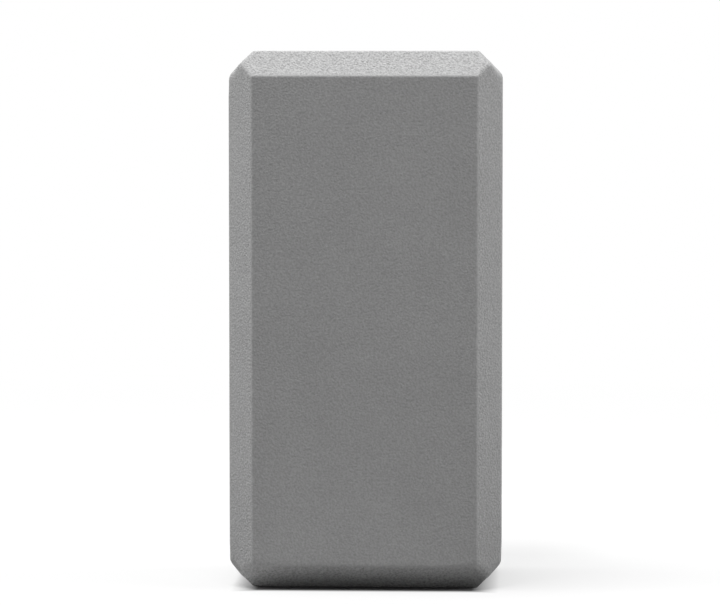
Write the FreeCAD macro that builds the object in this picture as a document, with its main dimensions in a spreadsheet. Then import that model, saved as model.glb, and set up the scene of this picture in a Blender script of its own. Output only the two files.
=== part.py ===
import FreeCAD, Part
import os
from enum import IntEnum

import Sketcher

# Foam yoga block, standing on its end.
# Two equal slabs of closed-cell foam are bonded face to face by a thin adhesive film. Every outer
# edge of the block is milled to a 45 degree bevel, so that three bevels meet in a point at each
# corner, and the edges that the cutter leaves are rubbed to a small radius.
# Millimetres. +Z runs up the block's length, +X to its right, and -Y out of its front broad face.
# The origin is the middle of the end that the block stands on.

SIZES = (
    ("block_length", 220.0, "end to end, upright as the block stands"),
    ("block_width", 111.7, "side to side"),
    ("slab_thickness", 34.9, "one foam slab, from the bond to its broad face"),
    ("bond_thickness", 0.2, "adhesive film between the slabs"),
    ("bond_setback", 0.4, "how far the film's rim lies behind the foam's outline"),
    ("bevel", 10.0, "run of each bevel along either of its two faces"),
    ("edge_radius", 1.2, "rounding of the edges beside the bevels"),
)

# Half a turn about the block's length sets the rear slab back to back with the front one.
FRONT_TURN = 0.0
REAR_TURN = 180.0

# Distance within which a point counts as lying on the bond plane.
ON_PLANE = 1e-6


class EdgeEnd(IntEnum):
    """Which end of a sketch's edge a constraint holds."""

    START = 1
    END = 2


class SketchAxis(IntEnum):
    """A sketch's own axes, which points are mirrored about."""

    HORIZONTAL = -1
    VERTICAL = -2


# A sketch's root point is the start of its horizontal axis.
ROOT = (SketchAxis.HORIZONTAL, EdgeEnd.START)

# The two views in which bevels are milled. Each gives the plane, the sketch direction across the
# block, the sketch direction through its thickness, and the axis between the two bevels.
PLAN_VIEW = ("XY_Plane", "X", "Y", SketchAxis.VERTICAL)
SIDE_VIEW = ("YZ_Plane", "Y", "X", SketchAxis.HORIZONTAL)


def make_sizes(doc):
    """Fills the spreadsheet of driving dimensions, one alias for each."""
    sheet = doc.addObject("Spreadsheet::Sheet", "Sizes")
    for row, (alias, value, meaning) in enumerate(SIZES, start=1):
        sheet.set(f"A{row}", alias)
        sheet.set(f"B{row}", str(value))
        sheet.set(f"C{row}", meaning)
        sheet.setAlias(f"B{row}", alias)
    doc.recompute()
    return sheet


def new_sketch(body, name, role):
    """A sketch on one of the body's own origin planes."""
    sketch = body.newObject("Sketcher::SketchObject", name)
    plane = next(f for f in body.Origin.OriginFeatures if f.Role == role)
    sketch.AttachmentSupport = [(plane, "")]
    sketch.MapMode = "FlatFace"
    return sketch


def draw_loop(sketch, points):
    """Draws straight edges through the points and closes them, and returns the edges' numbers."""
    corners = [FreeCAD.Vector(x, y, 0) for x, y in points]
    edges = []
    for start, end in zip(corners, corners[1:] + corners[:1]):
        edges.append(sketch.addGeometry(Part.LineSegment(start, end), False))
    for edge, following in zip(edges, edges[1:] + edges[:1]):
        sketch.addConstraint(
            Sketcher.Constraint("Coincident", edge, EdgeEnd.END, following, EdgeEnd.START)
        )
    return edges


def mirror_points(sketch, one, other, axis):
    """Keeps two points of a sketch symmetric about one of its axes."""
    sketch.addConstraint(Sketcher.Constraint("Symmetric", *one, *other, axis))


def set_distance(sketch, name, direction, start, end, expression):
    """Dimensions one point from another along X or Y and ties the distance to the sizes."""
    number = sketch.addConstraint(
        Sketcher.Constraint(f"Distance{direction}", *start, *end, span(sketch, direction, start, end))
    )
    sketch.renameConstraint(number, name)
    sketch.setExpression(f"Constraints.{name}", expression)


def span(sketch, direction, start, end):
    """The distance between two points as drawn, along X or Y."""
    between = sketch.getPoint(*end) - sketch.getPoint(*start)
    return between.x if direction == "X" else between.y


def draw_outline(body, sheet, width, length, corner):
    """The block's outline as its broad face shows it: a rectangle with its four corners cut off."""
    sketch = new_sketch(body, "outline", "XZ_Plane")
    across, up, cut = sheet.block_width / 2, sheet.block_length / 2, sheet.bevel
    edges = draw_loop(sketch, (
        (across - cut, -up),
        (across, -up + cut),
        (across, up - cut),
        (across - cut, up),
        (-across + cut, up),
        (-across, up - cut),
        (-across, -up + cut),
        (-across + cut, -up),
    ))
    low_end, low_side, high_side, high_end, *left = [(edge, EdgeEnd.START) for edge in edges]
    for right_point, left_point in zip((high_end, high_side, low_side, low_end), left):
        mirror_points(sketch, right_point, left_point, SketchAxis.VERTICAL)
    mirror_points(sketch, low_end, high_end, SketchAxis.HORIZONTAL)
    mirror_points(sketch, low_side, high_side, SketchAxis.HORIZONTAL)
    set_distance(sketch, "width", "X", left[1], high_side, width)
    set_distance(sketch, "length", "Y", low_end, high_end, length)
    set_distance(sketch, "corner_run", "X", low_end, low_side, corner)
    set_distance(sketch, "corner_rise", "Y", low_end, low_side, corner)
    return sketch


def draw_bevels(body, sheet, name, view, block_span):
    """The two triangles that a pair of bevels takes off the front, one at each side of the view."""
    role, across, through, axis = view
    sketch = new_sketch(body, name, role)
    edge_at = sheet.get(block_span) / 2
    front, cut = -sheet.slab_thickness, sheet.bevel
    loops = []
    for side in (1, -1):
        points = ((side * (edge_at - cut), front), (side * edge_at, front), (side * edge_at, front + cut))
        loops.append(draw_loop(sketch, points if across == "X" else [(y, x) for x, y in points]))
    on_face, corner, on_side = [(edge, EdgeEnd.START) for edge in loops[0]]
    for right_edge, left_edge in zip(*loops):
        mirror_points(sketch, (right_edge, EdgeEnd.START), (left_edge, EdgeEnd.START), axis)
    along_face, along_side = loops[0][:2]
    flat, upright = ("Horizontal", "Vertical") if across == "X" else ("Vertical", "Horizontal")
    sketch.addConstraint(Sketcher.Constraint(flat, along_face))
    sketch.addConstraint(Sketcher.Constraint(upright, along_side))
    set_distance(sketch, "run", across, on_face, corner, "Sizes.bevel")
    set_distance(sketch, "rise", through, corner, on_side, "Sizes.bevel")
    set_distance(sketch, "half_span", across, ROOT, corner, f"Sizes.{block_span} / 2")
    set_distance(sketch, "depth", through, corner, ROOT, "Sizes.slab_thickness")
    return sketch


def mill_bevels(body, sheet, name, view, block_span):
    """Mills a pair of bevels off the front, right along the slab, and checks that they cut."""
    whole = body.Tip
    pocket = body.newObject("PartDesign::Pocket", name)
    pocket.Profile = draw_bevels(body, sheet, f"{name}_profile", view, block_span)
    pocket.SideType = "Symmetric"
    pocket.Type = "ThroughAll"
    body.Document.recompute()
    if pocket.Shape.Volume >= whole.Shape.Volume:
        raise RuntimeError(f"{body.Label}: {name} takes nothing off the slab")


def round_edges(body):
    """Rounds every edge of a slab apart from those of its bonded face."""
    beveled = body.Tip
    names = []
    for number, edge in enumerate(beveled.Shape.Edges, start=1):
        if any(abs(corner.Y) > ON_PLANE for corner in edge.Vertexes):
            names.append(f"Edge{number}")
    fillet = body.newObject("PartDesign::Fillet", "rounded_edges")
    fillet.Base = (beveled, names)
    fillet.setExpression("Radius", "Sizes.edge_radius")


def place(body, turn, y, z):
    """Stands a body in the block: turned about its length, then moved to its place."""
    body.Placement = FreeCAD.Placement(
        FreeCAD.Vector(), FreeCAD.Rotation(FreeCAD.Vector(0, 0, 1), turn)
    )
    body.setExpression("Placement.Base.y", y)
    body.setExpression("Placement.Base.z", z)


def make_slab(doc, sheet, label, turn, y):
    """One foam slab. Its own origin is the middle of its bonded face, and it points along -Y."""
    body = doc.addObject("PartDesign::Body", label)
    pad = body.newObject("PartDesign::Pad", "slab")
    pad.Profile = draw_outline(body, sheet, "Sizes.block_width", "Sizes.block_length", "Sizes.bevel")
    pad.setExpression("Length", "Sizes.slab_thickness")
    doc.recompute()
    mill_bevels(body, sheet, "side_bevels", PLAN_VIEW, "block_width")
    mill_bevels(body, sheet, "end_bevels", SIDE_VIEW, "block_length")
    round_edges(body)
    place(body, turn, y, "Sizes.block_length / 2")
    return body


def make_bond_film(doc, sheet):
    """The adhesive film, set back by the same distance from every edge of the foam's outline."""
    body = doc.addObject("PartDesign::Body", "bond_film")
    pad = body.newObject("PartDesign::Pad", "film")
    pad.Profile = draw_outline(
        body,
        sheet,
        "Sizes.block_width - 2 * Sizes.bond_setback",
        "Sizes.block_length - 2 * Sizes.bond_setback",
        "Sizes.bevel - (2 - sqrt(2)) * Sizes.bond_setback",
    )
    pad.setExpression("Length", "Sizes.bond_thickness")
    pad.SideType = "Symmetric"
    place(body, FRONT_TURN, "0", "Sizes.block_length / 2")
    return body


def check(doc, bodies):
    """Stops the build at any failed feature, or at a body without one valid solid."""
    for item in doc.Objects:
        if "Invalid" in item.State or "Error" in item.State:
            raise RuntimeError(f"{item.Label} failed to build: {item.State}")
    for body in bodies:
        if body.Shape.isNull() or not body.Shape.isValid() or len(body.Shape.Solids) != 1:
            raise RuntimeError(f"{body.Label} isn't one valid solid")


def main():
    """Builds the block and writes one STEP file for each of its pieces."""
    doc = FreeCAD.newDocument("yoga_block")
    sheet = make_sizes(doc)
    bodies = (
        make_slab(doc, sheet, "front_foam_slab", FRONT_TURN, "-Sizes.bond_thickness / 2"),
        make_slab(doc, sheet, "rear_foam_slab", REAR_TURN, "Sizes.bond_thickness / 2"),
        make_bond_film(doc, sheet),
    )
    doc.recompute()
    check(doc, bodies)
    os.makedirs("parts", exist_ok=True)
    for body in bodies:
        body.Shape.exportStep(f"parts/{body.Label}.step")
        print(f"{body.Label}: {body.Shape.Volume:.1f} mm3, {len(body.Shape.Faces)} faces")


main()
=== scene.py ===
"""Looks of a foam yoga block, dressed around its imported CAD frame.

The block stands on its end. Two slabs of closed-cell foam are glued face to face, and every outer edge is
milled to a flat bevel. Geometry Nodes grow each slab from the block's own rule: a box whose edges are cut
off at 45 degrees, so that three bevels meet in a point at each corner, rubbed round along every edge that
is left.
"""

import logging
import math
from dataclasses import dataclass
from enum import Enum
from typing import Any

import bpy
from bpy.types import Material, Node, NodeSocket, NodeTree, Object, World
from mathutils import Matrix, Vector

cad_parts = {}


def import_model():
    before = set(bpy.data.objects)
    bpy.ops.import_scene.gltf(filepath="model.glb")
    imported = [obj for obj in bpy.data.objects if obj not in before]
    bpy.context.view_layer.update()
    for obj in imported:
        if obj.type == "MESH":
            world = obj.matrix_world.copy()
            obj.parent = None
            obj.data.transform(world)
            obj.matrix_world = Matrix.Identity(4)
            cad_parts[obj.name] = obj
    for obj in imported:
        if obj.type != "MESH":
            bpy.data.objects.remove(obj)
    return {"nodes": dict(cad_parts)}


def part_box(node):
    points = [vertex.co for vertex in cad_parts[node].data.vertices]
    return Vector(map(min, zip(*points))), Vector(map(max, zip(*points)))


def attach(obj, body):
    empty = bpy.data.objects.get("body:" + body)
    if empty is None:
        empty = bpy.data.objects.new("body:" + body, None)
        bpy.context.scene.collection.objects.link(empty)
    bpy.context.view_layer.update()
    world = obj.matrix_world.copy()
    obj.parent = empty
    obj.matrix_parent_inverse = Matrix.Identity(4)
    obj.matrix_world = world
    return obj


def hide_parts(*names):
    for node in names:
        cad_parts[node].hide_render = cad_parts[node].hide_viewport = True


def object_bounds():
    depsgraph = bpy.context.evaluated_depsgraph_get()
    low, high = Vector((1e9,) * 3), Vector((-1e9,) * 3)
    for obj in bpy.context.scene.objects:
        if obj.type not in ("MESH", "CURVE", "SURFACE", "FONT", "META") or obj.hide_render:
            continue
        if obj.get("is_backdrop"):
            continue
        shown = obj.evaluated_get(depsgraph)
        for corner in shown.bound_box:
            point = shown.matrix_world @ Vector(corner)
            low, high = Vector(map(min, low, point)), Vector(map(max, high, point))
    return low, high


LOG = logging.getLogger("yoga_block")

MM = 0.001
WHITE = (1.0, 1.0, 1.0, 1.0)

# The value that a noise texture swings about.
NOISE_MIDDLE = 0.5

Feed = NodeSocket | float | tuple | str | None
Marks = dict[str, NodeSocket]


class Side(Enum):
    """Which of the two slabs this is: its turn about the block's length, in radians."""

    FRONT = 0.0
    REAR = math.pi


class FoamMark(str, Enum):
    """Attributes that the grown foam carries for its material and for the growing itself."""

    MILLED = "milled"
    EDGE = "edge"
    OUTER = "outer"
    MITRE = "mitre"


class NodeGraph:
    """A node tree under construction, with short calls for its common nodes."""

    def __init__(self, tree: NodeTree) -> None:
        """Starts on an existing tree.

        Args:
            tree: The tree that the nodes go into.
        """
        self.tree = tree

    def feed(self, socket: NodeSocket, value: Feed) -> None:
        """Links a socket into an input, or sets the input to a plain value.

        Args:
            socket: The input.
            value: The socket or plain value that it gets.
        """
        if isinstance(value, NodeSocket):
            self.tree.links.new(value, socket)
        else:
            socket.default_value = value

    def node(self, kind: str, inputs: dict[str, Feed] | None = None, **settings: Any) -> Node:
        """Adds one node.

        Args:
            kind: The node's type name.
            inputs: Values or sockets for its inputs, by socket name.
            **settings: Properties of the node, set before its inputs.

        Returns:
            The new node.
        """
        node = self.tree.nodes.new(kind)
        for name, value in settings.items():
            setattr(node, name, value)
        for name, value in (inputs or {}).items():
            self.feed(next(s for s in node.inputs if s.name == name and s.enabled), value)
        return node

    def out(self, kind: str, inputs: dict[str, Feed] | None = None, **settings: Any) -> NodeSocket:
        """Adds one node in the same way, and returns its first output."""
        return self.node(kind, inputs, **settings).outputs[0]

    def parts(self, vector: Feed) -> tuple[NodeSocket, ...]:
        """The three coordinates of a vector."""
        return tuple(self.node("ShaderNodeSeparateXYZ", {"Vector": vector}).outputs)

    def math(self, operation: str, first: Feed, second: Feed = 0.0) -> NodeSocket:
        """Adds one step of arithmetic.

        Args:
            operation: The Math node's operation.
            first: First number or socket.
            second: Second number or socket, where the operation has one.

        Returns:
            The result's socket.
        """
        node = self.tree.nodes.new("ShaderNodeMath")
        node.operation = operation
        self.feed(node.inputs[0], first)
        self.feed(node.inputs[1], second)
        return node.outputs[0]

    def vector(self, operation: str, first: Feed, second: Feed = None) -> NodeSocket:
        """Adds one step of vector arithmetic.

        Args:
            operation: The Vector Math node's operation.
            first: First vector or socket.
            second: Second vector or socket, or the factor of a SCALE.

        Returns:
            The result's socket.
        """
        node = self.tree.nodes.new("ShaderNodeVectorMath")
        node.operation = operation
        self.feed(node.inputs[0], first)
        if second is not None:
            self.feed(node.inputs["Scale"] if operation == "SCALE" else node.inputs[1], second)
        return node.outputs["Value" if operation == "LENGTH" else "Vector"]

    def ramp(self, value: Feed, start: Feed, end: Feed, low: Feed = 0.0, high: Feed = 1.0) -> NodeSocket:
        """Maps a value from one range to another, and holds it at the ends.

        Args:
            value: The number or socket to map.
            start: Where the ramp begins.
            end: Where the ramp ends.
            low: Result at its beginning.
            high: Result at its end.

        Returns:
            The mapped value's socket.
        """
        inputs = {"Value": value, "From Min": start, "From Max": end, "To Min": low, "To Max": high}
        return self.node("ShaderNodeMapRange", inputs, clamp=True).outputs["Result"]

    def stretch(self, value: Feed, start: tuple[float, float], end: tuple[float, float]) -> NodeSocket:
        """Mask that rises from 0 to 1 over one range and falls back to 0 over a later one."""
        return self.math("MULTIPLY", self.ramp(value, *start), self.ramp(value, *end, 1.0, 0.0))

    def swing(self, noise: NodeSocket, reach: Feed) -> NodeSocket:
        """How far a noise is from its middle, times a reach."""
        return self.math("MULTIPLY", self.math("SUBTRACT", noise, NOISE_MIDDLE), reach)


class NodeGroup(NodeGraph):
    """A new node group with named inputs and outputs."""

    TREE_KIND = "GeometryNodeTree"
    NODE_KIND = "GeometryNodeGroup"

    def __init__(self, name: str, inputs: dict[str, str], outputs: dict[str, str]) -> None:
        """Makes the group and its sockets.

        Args:
            name: The group's name.
            inputs: Socket kind of each input, by label.
            outputs: Socket kind of each output, by label.
        """
        super().__init__(bpy.data.node_groups.new(name, self.TREE_KIND))
        for way, sockets in (("INPUT", inputs), ("OUTPUT", outputs)):
            for label, kind in sockets.items():
                self.tree.interface.new_socket(label, in_out=way, socket_type=f"NodeSocket{kind}")
        self.given = self.tree.nodes.new("NodeGroupInput").outputs
        self.result = self.tree.nodes.new("NodeGroupOutput").inputs

    def give(self, label: str, value: Feed) -> None:
        """Links one of the group's outputs."""
        self.feed(self.result[label], value)

    def place_in(self, graph: NodeGraph, inputs: dict[str, Feed]) -> Node:
        """Places this group in another tree.

        Args:
            graph: The tree that uses the group.
            inputs: Values or sockets for its inputs, by label.

        Returns:
            The group's node there.
        """
        node = graph.node(self.NODE_KIND, node_tree=self.tree)
        for label, value in inputs.items():
            graph.feed(node.inputs[label], value)
        return node

    def store(
        self, mesh: Feed, mark: FoamMark, value: Feed, data_type: str = "FLOAT", domain: str = "POINT"
    ) -> NodeSocket:
        """Stores an attribute on a mesh.

        Args:
            mesh: The mesh's socket.
            mark: The attribute's name.
            value: What is stored.
            data_type: The attribute's type.
            domain: Where it is stored, on points or faces.

        Returns:
            The socket of the mesh that carries it.
        """
        inputs = {"Geometry": mesh, "Name": mark.value, "Value": value}
        return self.out("GeometryNodeStoreNamedAttribute", inputs, data_type=data_type, domain=domain)

    def stored(self, mark: FoamMark, data_type: str = "FLOAT") -> NodeSocket:
        """Socket of a stored attribute."""
        return self.out("GeometryNodeInputNamedAttribute", {"Name": mark.value}, data_type=data_type)

    def forget(self, mesh: Feed, mark: FoamMark) -> NodeSocket:
        """Takes a stored attribute off a mesh again, and returns the mesh's socket."""
        return self.out("GeometryNodeRemoveAttribute", {"Geometry": mesh, "Name": mark.value})


class AxisRule(NodeGroup):
    """Where a grid line falls along one axis, from the block's middle out to its edge."""

    LABELS = ("Spot", "Reach", "Bevel", "Band", "Flat Cells", "Band Cells", "Bevel Cells")

    def __init__(self) -> None:
        """Builds the group: fine cells on both sides of the bevel's edge, and wider ones elsewhere."""
        super().__init__("axis_rule", dict.fromkeys(self.LABELS, "Float"), {"Flat": "Float", "Over": "Float"})
        spot, reach, bevel, band, flat_cells, band_cells, bevel_cells = (
            self.given[label] for label in self.LABELS
        )
        face_edge = self.math("ADD", flat_cells, band_cells)
        bevel_band = self.math("ADD", face_edge, band_cells)
        last = self.math("ADD", bevel_band, bevel_cells)
        line = self.math("MULTIPLY", spot, last)
        face = self.math("SUBTRACT", self.math("SUBTRACT", reach, bevel), band)
        band_over = self.math("MULTIPLY", band, math.sqrt(2))
        wide_over = self.math("SUBTRACT", bevel, band_over)
        on_face = self.ramp(line, 0.0, flat_cells, 0.0, face)
        on_face_band = self.ramp(line, flat_cells, face_edge, 0.0, band)
        on_bevel_band = self.ramp(line, face_edge, bevel_band, 0.0, band_over)
        on_bevel = self.ramp(line, bevel_band, last, 0.0, wide_over)
        self.give("Flat", self.math("ADD", on_face, on_face_band))
        self.give("Over", self.math("ADD", on_bevel_band, on_bevel))


class SharpSlab(NodeGroup):
    """A slab with sharp bevels round its broad face, on a grid that follows the bevels' edges.

    The slab's back lies in the plane y = 0 and the slab points along -Y. Along each axis a grid point has a
    distance on the flat face and a reach past the bevel's edge. A bevel takes half of that reach off both of
    the faces that it joins, so the point lies on the bevel, and the largest reach wins where bevels meet.
    """

    LABELS = ("Width", "Length", "Depth", "Bevel", "Step", "Band", "Band Cells")
    SIDE_GRAIN = 0.56
    NEAR = 1e-6
    NEAR_DIAGONAL = 1e-5
    CUBE_SIZE = (2.0, 2.0, 2.0)
    # How many halves of the cube are used along each axis: through the slab, only the front one.
    HALVES = (2.0, 1.0, 2.0)

    def __init__(self, axis_rule: AxisRule) -> None:
        """Builds the group.

        Args:
            axis_rule: The group that spaces the grid along an axis.
        """
        super().__init__("sharp_slab", dict.fromkeys(self.LABELS, "Float"), {"Mesh": "Geometry"})
        width, length, depth, self.bevel, self.step, self.band, self.band_cells = (
            self.given[label] for label in self.LABELS
        )
        self.axis_rule = axis_rule
        bevel_run = self.math("DIVIDE", self.bevel, math.sqrt(2))
        self.bevel_cells = self._cells(self.math("SUBTRACT", bevel_run, self.band))
        reaches = (self.math("MULTIPLY", width, 0.5), depth, self.math("MULTIPLY", length, 0.5))
        faces = [self.math("SUBTRACT", reach, self.bevel) for reach in reaches]
        flat_cells = [self._cells(self.math("SUBTRACT", face, self.band)) for face in faces]
        mesh, spots, signs = self._grid(flat_cells)
        rules = [self._rule(*axis) for axis in zip(spots, reaches, flat_cells)]
        self.overs = [rule.outputs["Over"] for rule in rules]
        self.flats = [rule.outputs["Flat"] for rule in rules]
        self._rank_overs()
        self.give("Mesh", self._split_mitres(self._cut(self._mark(mesh), signs)))

    def _cells(self, span: NodeSocket) -> NodeSocket:
        """Number of the wider cells that fit a span, at least one."""
        return self.math("MAXIMUM", self.math("ROUND", self.math("DIVIDE", span, self.step)), 1.0)

    def _grid(self, flat_cells: list[NodeSocket]) -> tuple[NodeSocket, tuple[Feed, ...], tuple[Feed, ...]]:
        """The plain grid on a cube.

        Args:
            flat_cells: Number of wider cells on the flat part of each axis.

        Returns:
            The grid, the spot of a point along each axis from 0 to 1, and its direction there.
        """
        edge_cells = self.math("ADD", self.math("MULTIPLY", self.band_cells, 2.0), self.bevel_cells)
        counts = {}
        for axis, flat, halves in zip("XYZ", flat_cells, self.HALVES):
            cells = self.math("MULTIPLY", self.math("ADD", flat, edge_cells), halves)
            counts[f"Vertices {axis}"] = self.math("ADD", cells, 1.0)
        cube = self.out("GeometryNodeMeshCube", {"Size": self.CUBE_SIZE, **counts})
        x, y, z = self.parts(self.out("GeometryNodeInputPosition"))
        spots = (self.math("ABSOLUTE", x), self.ramp(y, 1.0, -1.0), self.math("ABSOLUTE", z))
        return cube, spots, (self.math("SIGN", x), -1.0, self.math("SIGN", z))

    def _rule(self, spot: NodeSocket, reach: NodeSocket, flat_cells: NodeSocket) -> Node:
        """Places the axis rule for one axis."""
        return self.axis_rule.place_in(self, {
            "Spot": spot,
            "Reach": reach,
            "Bevel": self.bevel,
            "Band": self.band,
            "Flat Cells": flat_cells,
            "Band Cells": self.band_cells,
            "Bevel Cells": self.bevel_cells,
        })

    def _rank_overs(self) -> None:
        """Sorts the three reaches past the bevels' edges."""
        x, y, z = self.overs
        self.largest = self.math("MAXIMUM", self.math("MAXIMUM", x, y), z)
        self.smallest = self.math("MINIMUM", self.math("MINIMUM", x, y), z)
        total = self.math("ADD", self.math("ADD", x, y), z)
        self.middle = self.math("SUBTRACT", self.math("SUBTRACT", total, self.largest), self.smallest)

    def _is_full(self, over: NodeSocket) -> NodeSocket:
        """Mask of the points that reach the whole bevel past its edge."""
        return self.math("GREATER_THAN", over, self.math("SUBTRACT", self.bevel, self.NEAR))

    def _mark(self, mesh: NodeSocket) -> NodeSocket:
        """Marks the milled surface, the outside, and the cells that a mitre between bevels crosses.

        Args:
            mesh: The plain grid.

        Returns:
            The marked grid's socket.
        """
        lower_two = self.math("SUBTRACT", self.middle, self.smallest)
        on_diagonal = self.math("LESS_THAN", lower_two, self.NEAR_DIAGONAL)
        in_corner = self.math("GREATER_THAN", self.smallest, self.NEAR)
        mitre = self.math("MULTIPLY", on_diagonal, in_corner)
        mesh = self.store(mesh, FoamMark.MITRE, mitre, "BOOLEAN", "FACE")
        mesh = self.store(mesh, FoamMark.OUTER, self._is_full(self.largest), "BOOLEAN")
        inside_edge = self.ramp(self.middle, 0.0, self.band, 1.0, 0.0)
        broad_face = self.math("MULTIPLY", self._is_full(self.overs[1]), inside_edge)
        towards_end = self.math("SUBTRACT", self.overs[2], self.overs[0])
        side_edge = self.math("MULTIPLY", self.bevel, -1.0)
        coarse = self.ramp(towards_end, side_edge, self.bevel, self.SIDE_GRAIN, 1.0)
        milled = self.math("MULTIPLY", self.math("SUBTRACT", 1.0, broad_face), coarse)
        return self.store(mesh, FoamMark.MILLED, milled)

    def _cut(self, mesh: NodeSocket, signs: tuple[Feed, ...]) -> NodeSocket:
        """Moves the grid onto the slab's faces and bevels.

        Args:
            mesh: The marked grid.
            signs: Direction from the middle along each axis.

        Returns:
            The cut mesh's socket.
        """
        rest = self.math("MULTIPLY", self.math("SUBTRACT", self.bevel, self.middle), 0.5)
        places = []
        for flat, over, sign in zip(self.flats, self.overs, signs):
            outward = self.math("MULTIPLY", self._is_full(over), rest)
            cut = self.math("ADD", self.math("MULTIPLY", over, 0.5), outward)
            places.append(self.math("MULTIPLY", self.math("ADD", flat, cut), sign))
        target = self.out("ShaderNodeCombineXYZ", dict(zip("XYZ", places)))
        return self.out("GeometryNodeSetPosition", {"Geometry": mesh, "Position": target})

    def _split_mitres(self, mesh: NodeSocket) -> NodeSocket:
        """Splits the cells on a mitre along it, so that the bevels meet in a straight edge.

        Args:
            mesh: The cut mesh.

        Returns:
            The split mesh's socket.
        """
        inputs = {"Mesh": mesh, "Selection": self.stored(FoamMark.MITRE, "BOOLEAN")}
        split = self.out("GeometryNodeTriangulate", inputs, quad_method="LONGEST_DIAGONAL")
        return self.forget(split, FoamMark.MITRE)


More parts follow.
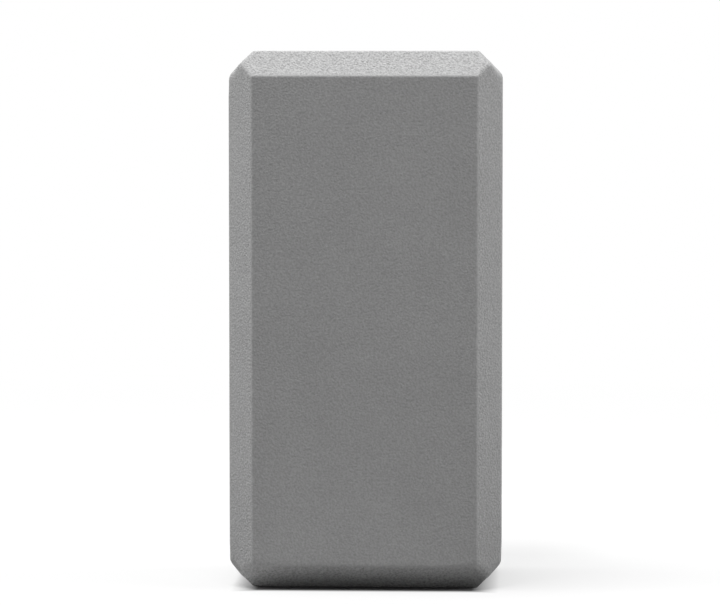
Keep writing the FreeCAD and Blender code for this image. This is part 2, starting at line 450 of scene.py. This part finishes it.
class RubbedSlab(NodeGroup):
    """The whole slab: bevelled, rubbed round along its edges, uneven as foam is, and set in its place.

    The edges are rounded as a ball would: each point goes to the edge radius away from the nearest point of
    a core, which is the same slab with all its outer planes moved in by that radius.
    """

    INPUTS = {
        **dict.fromkeys(("Width", "Length", "Thickness", "Bevel", "Edge Radius", "Soft Radius"), "Float"),
        **dict.fromkeys(("Step", "Relief Height", "Relief Size", "Seed", "Turn", "Shift", "Rise"), "Float"),
        "Material": "Material",
    }
    BAND_CELLS = 3.0
    CORE_BAND_CELLS = 1.0
    COARSE_STEP = 1.0

    # Where the edges are rounder, in multiples of the bevel, and by what share of the softer rounding.
    OVER_FLOOR = (0.15, 0.4)
    UNDER_FACE = (1.0, 1.3)
    FROM_CORNER = (0.9, 2.2)
    SOFT_MIDDLE = 0.3
    OFF_END = (0.4, 0.8)
    FROM_SIDE = (0.2, 0.4)
    SOFT_SIDE = 0.8

    # A point counts fully as an edge this many edge radii from the core, and the mark is then blurred.
    EDGE_REACH = 1.08
    EDGE_BLUR = 2

    RELIEF_DETAIL = 3.0
    RELIEF_ROUGHNESS = 0.45
    BOND_FADE = -2 * MM

    def __init__(self, sharp_slab: SharpSlab) -> None:
        """Builds the tree.

        Args:
            sharp_slab: The group that makes the slab and its core.
        """
        super().__init__("rubbed_slab", self.INPUTS, {"Geometry": "Geometry"})
        self.sharp_slab = sharp_slab
        self.radius = self.given["Edge Radius"]
        self.place = self.out("GeometryNodeInputPosition")
        mesh = self._roughen(self._round(self._skin()))
        turn = self.out("ShaderNodeCombineXYZ", {"Z": self.given["Turn"]})
        shift = self.out("ShaderNodeCombineXYZ", {"Y": self.given["Shift"], "Z": self.given["Rise"]})
        inputs = {"Geometry": mesh, "Translation": shift, "Rotation": turn}
        placed = self.out("GeometryNodeTransform", inputs)
        smooth = self.out("GeometryNodeSetShadeSmooth", {"Geometry": placed})
        real = self.out("GeometryNodeRealizeInstances", {"Geometry": smooth})
        dressed = self.out("GeometryNodeSetMaterial", {"Geometry": real, "Material": self.given["Material"]})
        self.give("Geometry", dressed)

    def _skin(self) -> NodeSocket:
        """The slab with its full size and sharp edges.

        Returns:
            Its mesh's socket.
        """
        skin = self.sharp_slab.place_in(self, {
            "Width": self.given["Width"],
            "Length": self.given["Length"],
            "Depth": self.given["Thickness"],
            "Bevel": self.given["Bevel"],
            "Step": self.given["Step"],
            "Band": self.radius,
            "Band Cells": self.BAND_CELLS,
        })
        return skin.outputs["Mesh"]

    def _core(self, radius: NodeSocket) -> NodeSocket:
        """The slab with its outer planes moved in, drawn out past the bond so that the bond's rim stays.

        Args:
            radius: How far the planes move in.

        Returns:
            The core's socket.
        """
        tail = self.given["Bevel"]
        less = self.math("MULTIPLY", radius, 2.0)
        depth = self.math("ADD", self.math("SUBTRACT", self.given["Thickness"], radius), tail)
        core = self.sharp_slab.place_in(self, {
            "Width": self.math("SUBTRACT", self.given["Width"], less),
            "Length": self.math("SUBTRACT", self.given["Length"], less),
            "Depth": depth,
            "Bevel": self.math("SUBTRACT", tail, self.math("MULTIPLY", radius, 2 - math.sqrt(2))),
            "Step": self.COARSE_STEP,
            "Band": self.radius,
            "Band Cells": self.CORE_BAND_CELLS,
        })
        back = self.out("ShaderNodeCombineXYZ", {"Y": tail})
        return self.out("GeometryNodeTransform", {"Geometry": core.outputs["Mesh"], "Translation": back})

    def _rolled(self, radius: NodeSocket) -> tuple[NodeSocket, NodeSocket]:
        """Where a point goes when a ball of some radius rolls round the edges.

        Args:
            radius: The ball's radius.

        Returns:
            The point's new place, and its old distance from the core.
        """
        inputs = {"Geometry": self._core(radius)}
        nearest = self.node("GeometryNodeProximity", inputs, target_element="FACES").outputs["Position"]
        arm = self.vector("SUBTRACT", self.place, nearest)
        rolled = self.vector("ADD", nearest, self.vector("SCALE", self.vector("NORMALIZE", arm), radius))
        return rolled, self.vector("LENGTH", arm)

    def _soft_share(self) -> NodeSocket:
        """Where the edges are rounder, and how much.

        Returns:
            The share's socket. It counts on the standing end's bevels, most at its corners, and at the ends
            of the narrow sides.
        """
        bevel = self.given["Bevel"]
        x, _, z = self.parts(self.place)
        half_width = self.math("MULTIPLY", self.given["Width"], 0.5)
        half_length = self.math("MULTIPLY", self.given["Length"], 0.5)
        inward = self.math("DIVIDE", self.math("SUBTRACT", half_width, self.math("ABSOLUTE", x)), bevel)
        height = self.math("DIVIDE", self.math("ADD", z, half_length), bevel)
        end = self.math("DIVIDE", self.math("SUBTRACT", half_length, self.math("ABSOLUTE", z)), bevel)
        on_bevel = self.stretch(height, self.OVER_FLOOR, self.UNDER_FACE)
        at_corner = self.ramp(inward, *self.FROM_CORNER, 1.0, self.SOFT_MIDDLE)
        off_end = self.math("ABSOLUTE", self.math("SUBTRACT", end, 1.0))
        at_end = self.ramp(off_end, *self.OFF_END, self.SOFT_SIDE, 0.0)
        on_side = self.ramp(inward, *self.FROM_SIDE, 1.0, 0.0)
        standing = self.math("MULTIPLY", on_bevel, at_corner)
        return self.math("MAXIMUM", standing, self.math("MULTIPLY", at_end, on_side))

    def _round(self, skin: NodeSocket) -> NodeSocket:
        """Rounds the edges and marks them.

        Args:
            skin: The slab with sharp edges.

        Returns:
            The rounded mesh's socket.
        """
        tight, reach = self._rolled(self.radius)
        soft, _ = self._rolled(self.given["Soft Radius"])
        at_edge = self.ramp(reach, self.radius, self.math("MULTIPLY", self.radius, self.EDGE_REACH))
        spread = self.out("GeometryNodeBlurAttribute", {"Value": at_edge, "Iterations": self.EDGE_BLUR})
        outer = self.stored(FoamMark.OUTER, "BOOLEAN")
        marked = self.store(skin, FoamMark.EDGE, self.math("MULTIPLY", spread, outer))
        softer = self.vector("SCALE", self.vector("SUBTRACT", soft, tight), self._soft_share())
        inputs = {"Geometry": marked, "Selection": outer, "Position": self.vector("ADD", tight, softer)}
        return self.forget(self.out("GeometryNodeSetPosition", inputs), FoamMark.OUTER)

    def _roughen(self, mesh: NodeSocket) -> NodeSocket:
        """Gives the foam its slight unevenness, which fades out towards the bond.

        Args:
            mesh: The rounded slab.

        Returns:
            The uneven mesh's socket.
        """
        pattern = {
            "W": self.given["Seed"],
            "Scale": self.math("DIVIDE", 1.0, self.given["Relief Size"]),
            "Detail": self.RELIEF_DETAIL,
            "Roughness": self.RELIEF_ROUGHNESS,
        }
        noise = self.out("ShaderNodeTexNoise", pattern, noise_dimensions="4D")
        _, y, _ = self.parts(self.place)
        faded = self.ramp(y, 0.0, self.BOND_FADE)
        height = self.math("MULTIPLY", self.swing(noise, self.given["Relief Height"]), faded)
        offset = self.vector("SCALE", self.out("GeometryNodeInputNormal"), height)
        return self.out("GeometryNodeSetPosition", {"Geometry": mesh, "Offset": offset})


class CellGrain(NodeGroup):
    """Shader group for the grain of a foamed or dried surface: cells, their open pits, and soft mottling."""

    TREE_KIND = "ShaderNodeTree"
    NODE_KIND = "ShaderNodeGroup"
    GRAIN_DETAIL = 1.0
    GRAIN_ROUGHNESS = 0.5
    GRAIN_SWING = 3.0
    PORE_SCALE = 0.8
    PIT_REACH = (0.1, 0.45)
    PIT_DEPTH = (0.4, -0.1)
    MOTTLE_DETAIL = 3.0
    MOTTLE_SWING = 2.0

    def __init__(self) -> None:
        """Builds the group."""
        inputs = {"Vector": "Vector", "Cell Size": "Float", "Mottle Size": "Float"}
        outputs = {"Speckle": "Float", "Pits": "Float", "Mottle": "Float"}
        super().__init__("cell_grain", inputs, outputs)
        cells = self.math("DIVIDE", 1.0, self.given["Cell Size"])
        patches = self.math("DIVIDE", 1.0, self.given["Mottle Size"])
        cell_pattern = {"Scale": cells, "Detail": self.GRAIN_DETAIL, "Roughness": self.GRAIN_ROUGHNESS}
        grain = self._pattern("ShaderNodeTexNoise", cell_pattern)
        pore_scale = self.math("MULTIPLY", cells, self.PORE_SCALE)
        pores = self._pattern("ShaderNodeTexVoronoi", {"Scale": pore_scale})
        mottle = self._pattern("ShaderNodeTexNoise", {"Scale": patches, "Detail": self.MOTTLE_DETAIL})
        pits = self.ramp(pores, *self.PIT_REACH, *self.PIT_DEPTH)
        self.give("Speckle", self.math("SUBTRACT", self.swing(grain, self.GRAIN_SWING), pits))
        self.give("Pits", pits)
        self.give("Mottle", self.swing(mottle, self.MOTTLE_SWING))

    def _pattern(self, kind: str, inputs: dict[str, Feed]) -> NodeSocket:
        """A texture at the group's own coordinates."""
        return self.out(kind, {"Vector": self.given["Vector"], **inputs})


@dataclass(frozen=True)
class Finish:
    """A matte surface with grain, whose numbers each material sets for itself."""

    # What a pit adds to the roughness, and the bump's depth as a share of a cell.
    PIT_ROUGHNESS = 0.1
    BUMP_DEPTH = 0.3

    name: str
    colour: tuple[float, float, float]
    roughness: float
    cell_size: float
    mottle_size: float
    grain_shade: float
    mottle_shade: float
    bump: float

    def make(self, grain: CellGrain) -> Material:
        """Builds the material.

        Args:
            grain: The shared group of grain effects.

        Returns:
            The finished material.
        """
        material = bpy.data.materials.new(self.name)
        material.use_nodes = True
        graph = NodeGraph(material.node_tree)
        shader = graph.tree.nodes["Principled BSDF"]
        marks = self.marks(graph, grain, self.cell_size)
        speckle = self.speckle(graph, grain, marks)
        shade = graph.math("ADD", 1.0, graph.math("MULTIPLY", speckle, self.grain_shade))
        shade = graph.math("ADD", shade, graph.math("MULTIPLY", marks["Mottle"], self.mottle_shade))
        shade = graph.math("ADD", shade, self.edge_shade(graph))
        graph.feed(shader.inputs["Base Color"], graph.vector("SCALE", self.colour, shade))
        pit_rough = graph.math("MULTIPLY", marks["Pits"], self.PIT_ROUGHNESS)
        graph.feed(shader.inputs["Roughness"], graph.math("ADD", self.roughness, pit_rough))
        bump = {"Height": speckle, "Strength": self.bump, "Distance": self.BUMP_DEPTH * self.cell_size}
        graph.feed(shader.inputs["Normal"], graph.out("ShaderNodeBump", bump))
        return material

    def marks(self, graph: NodeGraph, grain: CellGrain, cell_size: float) -> Marks:
        """Places the grain group.

        Args:
            graph: The material's tree.
            grain: The shared group of grain effects.
            cell_size: Size of the cells.

        Returns:
            The group's outputs by name.
        """
        place = graph.node("ShaderNodeTexCoord").outputs["Object"]
        inputs = {"Vector": place, "Cell Size": cell_size, "Mottle Size": self.mottle_size}
        return {socket.name: socket for socket in grain.place_in(graph, inputs).outputs}

    def speckle(self, graph: NodeGraph, grain: CellGrain, marks: Marks) -> NodeSocket:
        """The grain over the surface, which is even here."""
        return marks["Speckle"]

    def edge_shade(self, graph: NodeGraph) -> Feed:
        """How much lighter the edges are, which here they are not."""
        return 0.0


@dataclass(frozen=True)
class FoamFinish(Finish):
    """Closed-cell foam, with a softer grain on its pressed broad face than where a cutter has opened it."""

    name: str = "grey_foam"
    colour: tuple[float, float, float] = (0.26, 0.26, 0.26)
    roughness: float = 0.72
    cell_size: float = 0.85 * MM
    mottle_size: float = 22 * MM
    grain_shade: float = 0.42
    mottle_shade: float = 0.085
    bump: float = 0.5
    pressed_cell: float = 0.88 * MM
    pressed_grain: float = 0.43
    # Lighter edges: partly rubbed wear, partly a painted highlight along them.
    edge_wear_and_highlight: float = 0.12

    def speckle(self, graph: NodeGraph, grain: CellGrain, marks: Marks) -> NodeSocket:
        """The milled surface's grain and the softer one of the pressed face.

        Args:
            graph: The material's tree.
            grain: The shared group of grain effects.
            marks: The outputs of the milled surface's grain.

        Returns:
            The socket of both together.
        """
        milled = graph.node("ShaderNodeAttribute", attribute_name=FoamMark.MILLED.value).outputs["Fac"]
        fine = graph.math("MULTIPLY", marks["Speckle"], milled)
        pressed = self.marks(graph, grain, self.pressed_cell)["Speckle"]
        unmilled = graph.ramp(milled, 0.0, SharpSlab.SIDE_GRAIN, self.pressed_grain, 0.0)
        return graph.math("ADD", fine, graph.math("MULTIPLY", pressed, unmilled))

    def edge_shade(self, graph: NodeGraph) -> Feed:
        """Edges are a little lighter: partly rubbed wear, partly a painted highlight along them."""
        edge = graph.node("ShaderNodeAttribute", attribute_name=FoamMark.EDGE.value).outputs["Fac"]
        return graph.math("MULTIPLY", edge, self.edge_wear_and_highlight)


@dataclass(frozen=True)
class AdhesiveFinish(Finish):
    """Dried contact adhesive, darker than the foam and brushed on unevenly."""

    name: str = "dried_adhesive"
    colour: tuple[float, float, float] = (0.16, 0.155, 0.145)
    roughness: float = 0.5
    cell_size: float = 1.6 * MM
    mottle_size: float = 14 * MM
    grain_shade: float = 0.12
    mottle_shade: float = 0.1
    bump: float = 0.3


@dataclass
class FoamSlab:
    """One of the two foam slabs, grown in the place that its CAD node holds."""

    node: str
    side: Side
    seed: float
    slot: str = "foam"
    bevel: float = 10 * MM
    edge_radius: float = 1.2 * MM
    soft_radius: float = 5 * MM
    step: float = 1.2 * MM
    relief_height: float = 0.12 * MM
    relief_size: float = 16 * MM

    def sizes(self) -> dict[str, float]:
        """The tree's inputs, from the CAD node's box and this slab's own numbers.

        Returns:
            Each input's value by its label.
        """
        low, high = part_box(self.node)
        bonded = high.y if self.side is Side.FRONT else low.y
        return {
            "Width": high.x - low.x,
            "Length": high.z - low.z,
            "Thickness": high.y - low.y,
            "Bevel": self.bevel,
            "Edge Radius": self.edge_radius,
            "Soft Radius": self.soft_radius,
            "Step": self.step,
            "Relief Height": self.relief_height,
            "Relief Size": self.relief_size,
            "Seed": self.seed,
            "Turn": self.side.value,
            "Shift": bonded,
            "Rise": (low.z + high.z) / 2,
        }

    def build(self, shape: RubbedSlab, material: Material) -> Object:
        """Grows the slab's mesh.

        Args:
            shape: The tree that grows it.
            material: The foam's material.

        Returns:
            The slab as a plain mesh object.
        """
        grower = bpy.data.objects.new(f"{self.node}_grower", bpy.data.meshes.new(f"{self.node}_seed"))
        bpy.context.scene.collection.objects.link(grower)
        modifier = grower.modifiers.new("shape", "NODES")
        modifier.node_group = shape.tree
        values = {**self.sizes(), "Material": material}
        for item in shape.tree.interface.items_tree:
            if item.in_out == "INPUT":
                modifier[item.identifier] = values[item.name]
        grown = grower.evaluated_get(bpy.context.evaluated_depsgraph_get())
        mesh = bpy.data.meshes.new_from_object(grown)
        bpy.data.objects.remove(grower)
        slab = bpy.data.objects.new(f"{self.side.name.lower()}_foam", mesh)
        bpy.context.scene.collection.objects.link(slab)
        LOG.info("%s: %d points, %d faces", slab.name, len(mesh.vertices), len(mesh.polygons))
        return slab

    def dress(self, slab: Object) -> None:
        """Ties the slab to the frame as the foam piece that stands for its CAD node.

        Args:
            slab: The grown slab's object.
        """
        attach(slab, "root")
        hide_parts(self.node)


@dataclass
class BondFilm:
    """The adhesive film between the slabs, which keeps its CAD shape."""

    node: str = "bond_film"
    slot: str = "adhesive"

    def dress(self, film: Object, material: Material) -> None:
        """Gives the film its material.

        Args:
            film: The CAD node's object.
            material: The adhesive's material.
        """
        film.data.materials.clear()
        film.data.materials.append(material)
        LOG.info("%s: CAD shape kept, dressed in %s", film.name, material.name)


class StageGraph(NodeGraph):
    """The emptied node tree of the floor's material or of the world."""

    def __init__(self, owner: Material | World) -> None:
        """Empties the owner's tree.

        Args:
            owner: The material or world.
        """
        owner.use_nodes = True
        super().__init__(owner.node_tree)
        self.tree.nodes.clear()

    def seen(self) -> NodeSocket:
        """Tells what is seen from what only lights the block.

        Returns:
            Mask of the rays that show a surface: from the camera, in a gloss or through glass.
        """
        path = self.node("ShaderNodeLightPath").outputs
        straight = self.math("MAXIMUM", path["Is Camera Ray"], path["Is Glossy Ray"])
        return self.math("MAXIMUM", straight, path["Is Transmission Ray"])

    def mix(self, share: NodeSocket, first: NodeSocket, second: NodeSocket) -> NodeSocket:
        """Mixes two shaders.

        Args:
            share: Share of the second shader.
            first: The first shader.
            second: The second shader.

        Returns:
            The result's socket.
        """
        mix = self.node("ShaderNodeMixShader")
        for socket, value in zip(mix.inputs, (share, first, second)):
            self.feed(socket, value)
        return mix.outputs[0]


@dataclass
class Floor:
    """A pale floor that keeps the block's shadow and turns to plain white further out.

    Distances are measured outwards from the edges of the end that the block stands on. Close to it, painted
    shadows and painted light in the floor's colours, both where it is seen and in the light that it throws
    back onto the block, follow the photograph.
    """

    footprint: tuple[Vector, Vector]
    overhang: float = 10 * MM
    half: float = 4.0

    # Its shade where it is seen, its shade for the light that it throws back, and its share of plain white,
    # which grows to all of it between the near and the far distance.
    colour: float = 0.56
    bounce: float = 0.388
    white: float = 0.64
    near: float = 0.35
    far: float = 0.9

    # A painted shadow: the dark line where the block meets it, which reaches further out in front than
    # elsewhere.
    contact_shade: float = 0.2
    side_contact: tuple[float, float] = (-2 * MM, 9 * MM)
    front_contact: tuple[float, float] = (9 * MM, 14 * MM)

    # The painted soft shadow that trails off to the right behind the block, from the block's middle.
    painted_trail_level: float = 0.88
    trail_start: tuple[float, float] = (40 * MM, 75 * MM)
    trail_end: tuple[float, float] = (95 * MM, 145 * MM)
    trail_side: tuple[float, float] = (70 * MM, 105 * MM)

    # Painted light and shade in the colour for the light thrown back: low in a band on both sides, and more
    # on the left, inwards from the left edge.
    side_low: float = 0.1
    side_fall: tuple[float, float] = (4 * MM, 13 * MM)
    side_rise: tuple[float, float] = (25 * MM, 75 * MM)
    left_open: tuple[float, float] = (8 * MM, 22 * MM)
    left_gain: float = 2.2
    left_fall: tuple[float, float] = (-4 * MM, 2 * MM)

    def build(self) -> Object:
        """Lays the floor.

        Returns:
            The floor's object.
        """
        half = self.half
        corners = [(-half, -half, 0), (half, -half, 0), (half, half, 0), (-half, half, 0)]
        mesh = bpy.data.meshes.new("floor")
        mesh.from_pydata(corners, [], [(0, 1, 2, 3)])
        mesh.materials.append(self._material())
        floor = bpy.data.objects.new("floor", mesh)
        bpy.context.scene.collection.objects.link(floor)
        floor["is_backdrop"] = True
        return floor

    @property
    def standing(self) -> tuple[float, float, float]:
        """The rear right corner of the end that the block stands on."""
        high = self.footprint[1]
        return (high.x - self.overhang, high.y - self.overhang, 0.0)

    def _material(self) -> Material:
        """Builds the floor's material.

        Returns:
            The material, with one shader where it is seen and one for the light that it throws back.
        """
        material = bpy.data.materials.new("pale_floor")
        graph = StageGraph(material)
        place = graph.node("ShaderNodeTexCoord").outputs["Object"]
        offset = graph.vector("SUBTRACT", graph.vector("ABSOLUTE", place), self.standing)
        clear = self._clear(graph, place, offset)
        shown = self._shown(graph, place, offset, clear)
        thrown = self._thrown(graph, place, offset, clear)
        graph.node("ShaderNodeOutputMaterial", {"Surface": graph.mix(graph.seen(), thrown, shown)})
        return material

    def _clear(self, graph: StageGraph, place: NodeSocket, offset: NodeSocket) -> NodeSocket:
        """The floor outside the painted shadow, a dark line where the block meets it.

        Args:
            graph: The material's tree.
            place: A point of the floor.
            offset: The point's distance outwards along each axis.

        Returns:
            The mask's socket.
        """
        _, y, _ = graph.parts(place)
        beside, beyond, _ = graph.parts(offset)
        is_rear = graph.math("GREATER_THAN", y, 0.0)
        limits = zip(self.front_contact, self.side_contact)
        start, end = (graph.ramp(is_rear, 0.0, 1.0, *limit) for limit in limits)
        return graph.math("MAXIMUM", graph.ramp(beside, *self.side_contact), graph.ramp(beyond, start, end))

    def _shown(
        self, graph: StageGraph, place: NodeSocket, offset: NodeSocket, clear: NodeSocket
    ) -> NodeSocket:
        """What is seen of the floor: its lit surface close to the block, with a painted contact shadow and a
        painted trailing shadow, and plain white further out.

        Args:
            graph: The material's tree.
            place: A point of the floor.
            offset: The point's distance outwards along each axis.
            clear: Mask of the floor outside the dark line.

        Returns:
            The shader's socket.
        """
        x, y, _ = graph.parts(place)
        # The seen floor's colour darkens to a painted shadow inside the dark line.
        shade = graph.ramp(clear, 0.0, 1.0, self.contact_shade * self.colour, self.colour)
        lit = graph.out("ShaderNodeBsdfDiffuse", {"Color": shade})
        # A painted soft shadow: the plain white is dimmed behind the block's right side.
        behind = graph.stretch(y, self.trail_start, self.trail_end)
        right = graph.stretch(x, (0.0, self.standing[0]), self.trail_side)
        trail = graph.math("MULTIPLY", behind, right)
        strength = graph.ramp(trail, 0.0, 1.0, 1.0, self.painted_trail_level)
        white = graph.out("ShaderNodeEmission", {"Strength": strength})
        gap = graph.vector("LENGTH", graph.vector("MAXIMUM", offset, (0.0, 0.0, 0.0)))
        share = graph.ramp(gap, self.near, self.far, graph.math("MULTIPLY", clear, self.white))
        return graph.mix(share, lit, white)

    def _thrown(
        self, graph: StageGraph, place: NodeSocket, offset: NodeSocket, clear: NodeSocket
    ) -> NodeSocket:
        """The light that the floor throws back onto the block, with painted shade and painted light in its
        colour.

        Args:
            graph: The material's tree.
            place: A point of the floor.
            offset: The point's distance outwards along each axis.
            clear: Mask of the floor outside the dark line.

        Returns:
            The shader's socket.
        """
        x, _, _ = graph.parts(place)
        beside, _, _ = graph.parts(offset)
        # Painted light near the left edge, and painted shade under the bevels and in a band on both sides.
        left_edge = -self.standing[0]
        left = graph.ramp(x, *(left_edge + inward for inward in self.left_open), 1.0, 0.0)
        lit = graph.math("MAXIMUM", clear, left)
        shade = graph.ramp(lit, 0.0, 1.0, self.contact_shade * self.bounce, self.bounce)
        gain = graph.ramp(x, *(left_edge + inward for inward in self.left_fall), self.left_gain, 1.0)
        inner = graph.ramp(beside, *self.side_fall, gain, self.side_low)
        share = graph.math("MAXIMUM", inner, graph.ramp(beside, *self.side_rise))
        return graph.out("ShaderNodeBsdfDiffuse", {"Color": graph.math("MULTIPLY", shade, share)})


@dataclass(frozen=True)
class SoftBox:
    """A rectangular studio lamp that the camera doesn't see."""

    name: str
    place: tuple[float, float, float]
    size: tuple[float, float]
    power: float
    aim: tuple[float, float, float] = (0.0, 0.0, 0.11)

    def build(self) -> Object:
        """Hangs the lamp.

        Returns:
            The lamp's object.
        """
        light = bpy.data.lights.new(self.name, "AREA")
        light.shape = "RECTANGLE"
        light.size, light.size_y = self.size
        light.energy = self.power
        lamp = bpy.data.objects.new(self.name, light)
        lamp.location = self.place
        lamp.rotation_euler = (Vector(self.place) - Vector(self.aim)).to_track_quat("Z", "Y").to_euler()
        lamp.visible_camera = False
        bpy.context.scene.collection.objects.link(lamp)
        LOG.info("%s: %.1f W", lamp.name, self.power)
        return lamp


@dataclass
class Studio:
    """The floor, white surroundings, soft lamps, and the camera at the photograph's viewing angle."""

    floor: Floor
    lens: float = 185.15
    eye: tuple[float, float, float] = (61.8 * MM, -1535 * MM, 224.2 * MM)
    yaw: float = math.radians(2.425)
    pitch: float = math.radians(4.043)
    sight: float = 100.0
    lamps: tuple[SoftBox, ...] = (
        SoftBox("over_left", place=(-0.63, -0.36, 2.81), size=(1.5, 1.5), power=91.6),
        SoftBox("overhead", place=(0.0, -0.05, 2.91), size=(1.5, 1.5), power=29.5),
        SoftBox("rear", place=(0.0, 1.18, 2.65), size=(1.5, 1.5), power=18.0),
        SoftBox("left", place=(-2.54, 0.0, 1.29), size=(1.5, 1.5), power=35.0),
        SoftBox("right", place=(2.54, 0.0, 1.29), size=(1.5, 1.5), power=59.5),
        SoftBox("low_front", place=(-0.47, -2.66, 0.83), size=(1.5, 1.0), power=9.5),
    )

    def build(self) -> None:
        """Sets up everything around the block."""
        self.floor.build()
        self._world()
        for lamp in self.lamps:
            lamp.build()
        self._camera()
        bpy.context.scene.view_settings.view_transform = "Standard"

    @staticmethod
    def _world() -> None:
        """Surroundings that are white where they are seen, and throw no light on the block."""
        world = bpy.data.worlds.new("studio")
        graph = StageGraph(world)
        white = graph.out("ShaderNodeBackground", {"Color": WHITE, "Strength": graph.seen()})
        graph.node("ShaderNodeOutputWorld", {"Surface": white})
        bpy.context.scene.world = world

    def _camera(self) -> None:
        """The camera, level with the block's upper end, in front of its right side and turned to it."""
        camera = bpy.data.cameras.new("camera")
        camera.lens = self.lens
        camera.clip_end = self.sight
        holder = bpy.data.objects.new("camera", camera)
        holder.location = self.eye
        holder.rotation_euler = (math.pi / 2 - self.pitch, 0.0, self.yaw)
        bpy.context.scene.collection.objects.link(holder)
        bpy.context.scene.camera = holder


def main() -> None:
    """Builds the slabs, the bond film and the studio."""
    logging.basicConfig(level=logging.INFO, format="%(name)s: %(message)s")
    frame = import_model()
    cad_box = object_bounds()
    grain = CellGrain()
    foam = FoamFinish().make(grain)
    adhesive = AdhesiveFinish().make(grain)
    shape = RubbedSlab(SharpSlab(AxisRule()))
    slabs = (
        FoamSlab("front_foam_slab", Side.FRONT, seed=3.0),
        FoamSlab("rear_foam_slab", Side.REAR, seed=8.0),
    )
    for slab in slabs:
        slab.dress(slab.build(shape, foam))
    film = BondFilm()
    film.dress(frame["nodes"][film.node], adhesive)
    Studio(Floor(cad_box)).build()


if __name__ == "__main__":
    main()
